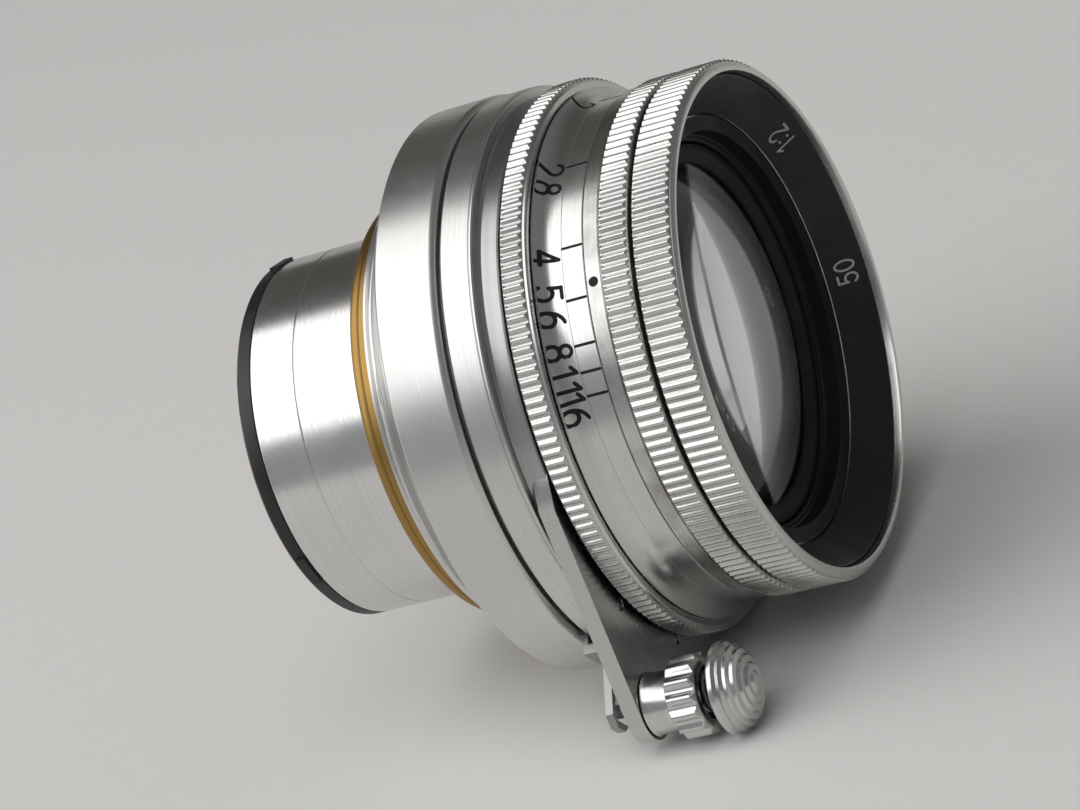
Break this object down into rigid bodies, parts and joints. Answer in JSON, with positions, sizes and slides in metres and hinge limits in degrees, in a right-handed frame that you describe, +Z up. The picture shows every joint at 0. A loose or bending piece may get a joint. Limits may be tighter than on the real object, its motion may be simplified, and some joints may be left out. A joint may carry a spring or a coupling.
{
  "type": "collapsible screw-mount camera and enlarger lens",
  "caption": "Collapsible 5 cm f/2 lens with a 39 mm screw mount: focusing lever with lock button, sliding tube, aperture ring and working iris.",
  "frame": {"origin": "on the optical axis at the flange's seat face, where the screw mount meets the camera or enlarger", "axes": "+X along the optical axis out of the front glass, +Z up with the lens lying on its side on the flange rim and the lever's knob, +Y away from the lever"},
  "size_m": [0.0437, 0.0499, 0.048],
  "materials": {
    "satin_chrome": "satin chrome with fine turning marks",
    "polished_chrome": "polished chrome with light handling wear",
    "brass": "turned brass, tarnished",
    "black_paint": "black enamel, worn to brass on the edges",
    "black_iris": "matt blackened steel",
    "coated_glass": "polished, single-coated",
    "felt": "dense black felt",
    "steel": "plain turned steel"
  },
  "bodies": {
    "mount": {"mount_flange": "satin_chrome", "focus_retaining_ring": "black_paint", "infinity_catch": "polished_chrome", "catch_screw_1": "steel", "catch_screw_2": "steel"},
    "focus": {"focus_ring": "satin_chrome", "focus_lever": "polished_chrome", "lever_screw_1": "steel", "lever_screw_2": "steel", "lever_post": "polished_chrome", "lock_spring": "steel"},
    "lock": {"lock_button": "polished_chrome", "lock_pin": "steel"},
    "helicoid": {"helicoid_barrel": "brass"},
    "felt": {"felt_ring": "felt"},
    "tube": {"sliding_tube": "polished_chrome", "tube_end_ring": "black_paint", "head_barrel": "satin_chrome", "grip_ring": "satin_chrome", "scale_sleeve": "satin_chrome", "front_ring": "satin_chrome", "name_ring": "black_paint", "front_cell": "black_paint", "front_retaining_ring": "black_paint", "element_1": "coated_glass", "element_2": "coated_glass", "element_3": "coated_glass", "element_4": "coated_glass", "element_5": "coated_glass", "element_6": "coated_glass", "element_7": "coated_glass", "rear_cell": "black_paint", "rear_retaining_ring": "black_paint", "iris_housing": "black_iris"},
    "aperture": {"aperture_ring": "satin_chrome", "iris_drive_sleeve": "black_iris", "iris_drive_pin": "steel", "iris_cam_ring": "black_iris"},
    "blade_1": {"iris_blade_1": "black_iris"},
    "blade_2": {"iris_blade_2": "black_iris"},
    "blade_3": {"iris_blade_3": "black_iris"},
    "blade_4": {"iris_blade_4": "black_iris"},
    "blade_5": {"iris_blade_5": "black_iris"},
    "blade_6": {"iris_blade_6": "black_iris"}
  },
  "joints": [
    {"name": "focus_turn", "type": "hinge", "parent": "mount", "child": "focus", "pos_m": [0, 0, 0], "axis": [1, 0, 0], "range_deg": [0, 175]},
    {"name": "focus_travel", "type": "slide", "parent": "focus", "child": "helicoid", "axis": [1, 0, 0], "range_m": [0, 0.0026]},
    {"name": "lock_press", "type": "slide", "parent": "focus", "child": "lock", "axis": [-1, 0, 0], "range_m": [0, 0.001], "stiffness_N_per_m": 500, "springref_m": -0.001},
    {"name": "tube_twist", "type": "hinge", "parent": "helicoid", "child": "felt", "pos_m": [0, 0, 0], "axis": [1, 0, 0], "range_deg": [0, 30]},
    {"name": "tube_pull", "type": "slide", "parent": "felt", "child": "tube", "axis": [1, 0, 0], "range_m": [0, 0.0129]},
    {"name": "aperture_turn", "type": "hinge", "parent": "tube", "child": "aperture", "pos_m": [0, 0, 0], "axis": [1, 0, 0], "range_deg": [-60.6, 23]},
    {"name": "blade_swing_1", "type": "hinge", "parent": "tube", "child": "blade_1", "pos_m": [0.0046, 0, 0.0116], "axis": [1, 0, 0], "range_deg": [-30.4, 11.6]},
    {"name": "blade_swing_2", "type": "hinge", "parent": "tube", "child": "blade_2", "pos_m": [0.0049, -0.01005, 0.0058], "axis": [1, 0, 0], "range_deg": [-30.4, 11.6]},
    {"name": "blade_swing_3", "type": "hinge", "parent": "tube", "child": "blade_3", "pos_m": [0.0052, -0.01005, -0.0058], "axis": [1, 0, 0], "range_deg": [-30.4, 11.6]},
    {"name": "blade_swing_4", "type": "hinge", "parent": "tube", "child": "blade_4", "pos_m": [0.0055, 0, -0.0116], "axis": [1, 0, 0], "range_deg": [-30.4, 11.6]},
    {"name": "blade_swing_5", "type": "hinge", "parent": "tube", "child": "blade_5", "pos_m": [0.0058, 0.01005, -0.0058], "axis": [1, 0, 0], "range_deg": [-30.4, 11.6]},
    {"name": "blade_swing_6", "type": "hinge", "parent": "tube", "child": "blade_6", "pos_m": [0.0061, 0.01005, 0.0058], "axis": [1, 0, 0], "range_deg": [-30.4, 11.6]}
  ],
  "couplings": [
    {"joint": "focus_travel", "follows": "focus_turn", "m_per_rad": 0.00085},
    {"joint": "blade_swing_1", "follows": "aperture_turn", "ratio": 0.5},
    {"joint": "blade_swing_2", "follows": "aperture_turn", "ratio": 0.5},
    {"joint": "blade_swing_3", "follows": "aperture_turn", "ratio": 0.5},
    {"joint": "blade_swing_4", "follows": "aperture_turn", "ratio": 0.5},
    {"joint": "blade_swing_5", "follows": "aperture_turn", "ratio": 0.5},
    {"joint": "blade_swing_6", "follows": "aperture_turn", "ratio": 0.5}
  ]
}
